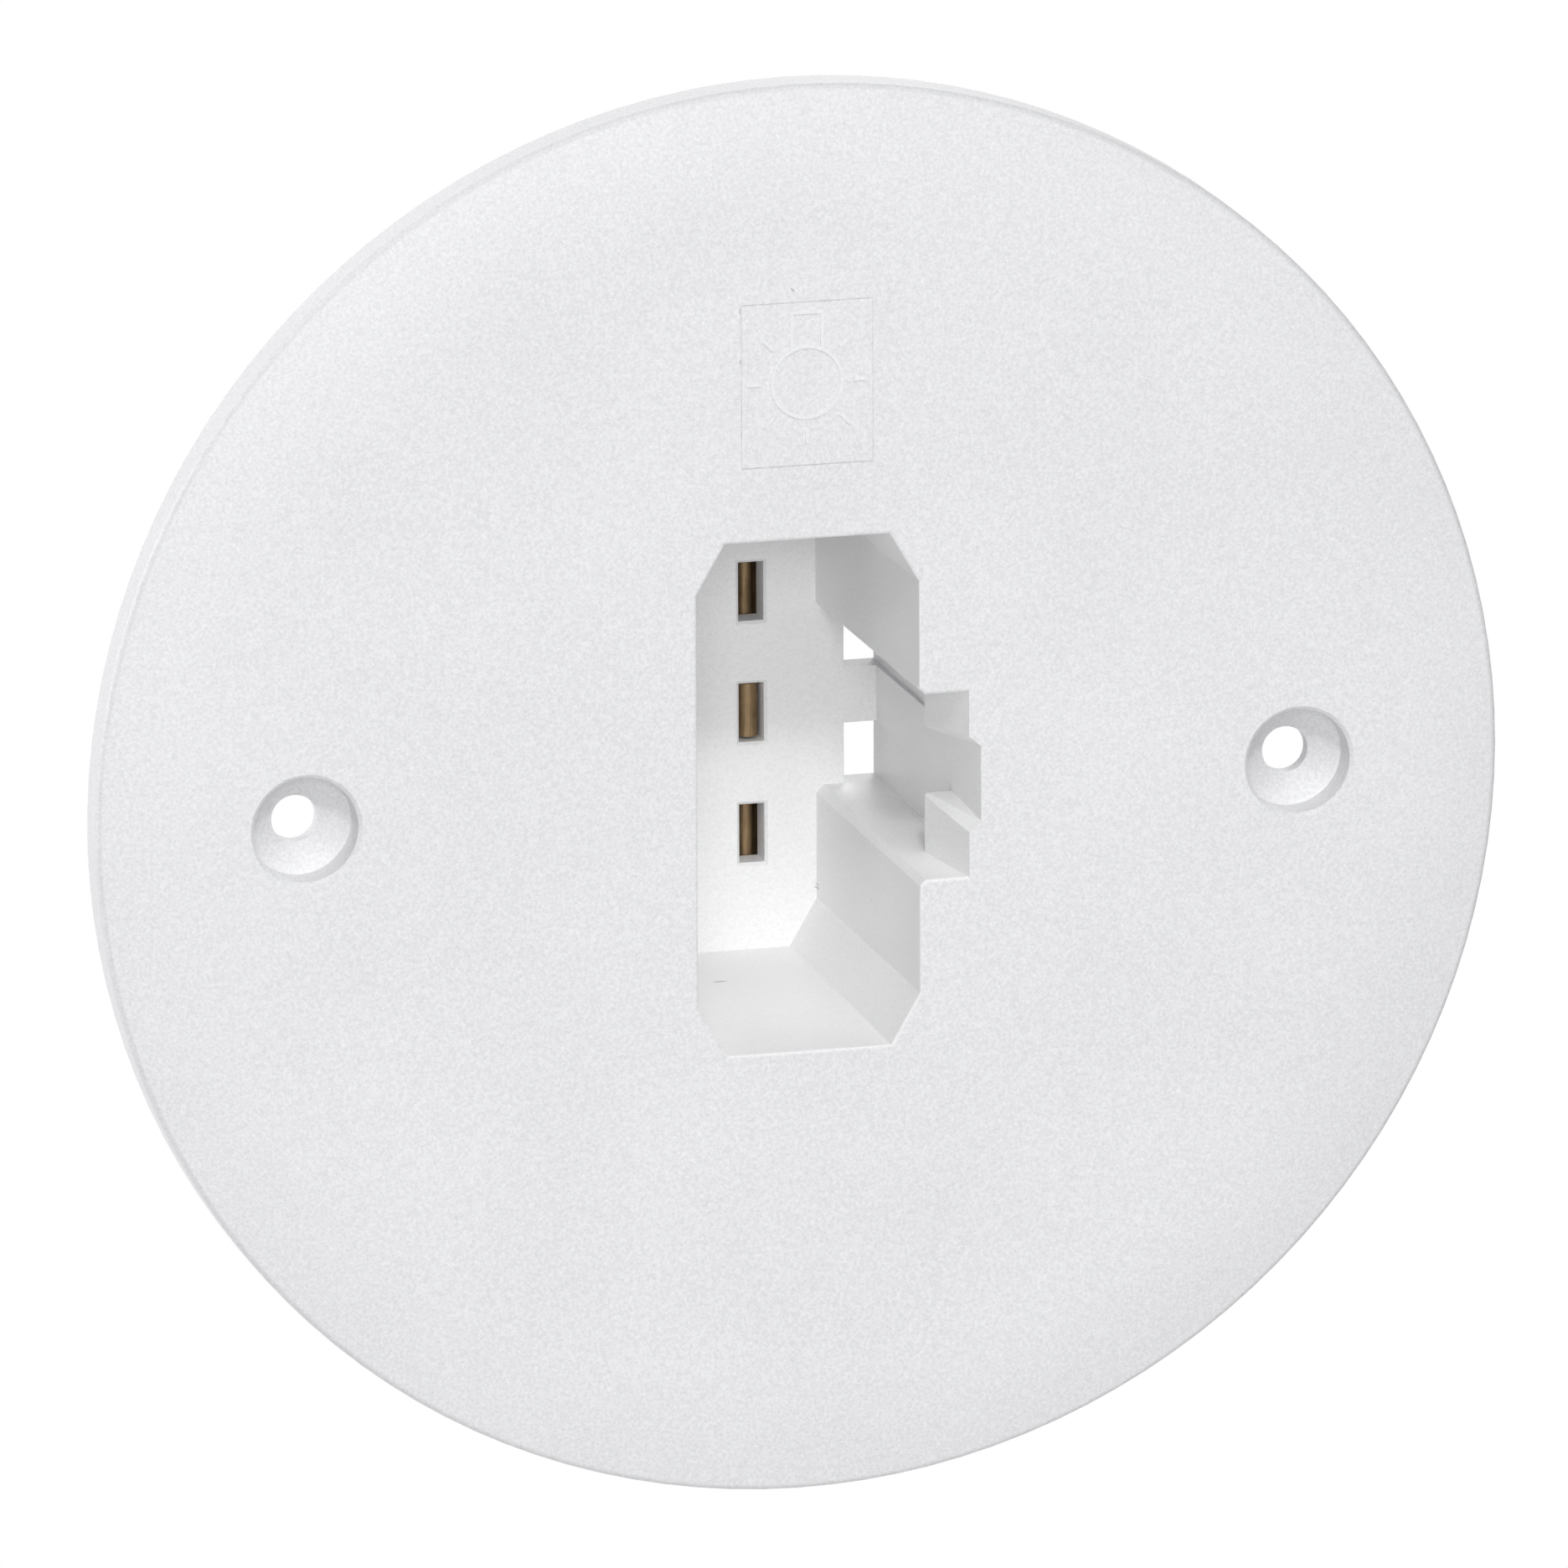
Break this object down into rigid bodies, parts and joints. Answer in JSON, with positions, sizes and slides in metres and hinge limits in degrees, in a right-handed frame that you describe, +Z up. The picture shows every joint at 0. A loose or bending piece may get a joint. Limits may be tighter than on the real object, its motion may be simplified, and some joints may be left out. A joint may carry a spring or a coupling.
{
  "type": "round electrical box cover with luminaire socket",
  "caption": "Round crowned box cover with screw seats and a deep latched socket recess for a luminaire plug, with a push-in terminal housing clipped behind.",
  "frame": {"origin": "centre of the plate on the seating plane of its rim, midway between the two screw holes", "axes": "+X towards the latch notch and along the two screw holes, +Z up as the cover is pictured, -Y out of the front face"},
  "size_m": [0.12, 0.0456, 0.12],
  "materials": {
    "white_moulding": "fine matt moulded grain, white",
    "housing_moulding": "matt moulded, off white",
    "contact_brass": "rolled strip, slightly tarnished",
    "spring_steel": "bright rolled spring strip"
  },
  "bodies": {
    "root": {"cover_body": "white_moulding", "terminal_housing": "housing_moulding", "contact_upper": "contact_brass", "contact_middle": "contact_brass", "contact_lower": "contact_brass", "clamp_spring_upper": "spring_steel", "clamp_spring_middle": "spring_steel", "clamp_spring_lower": "spring_steel"}
  },
  "joints": []
}
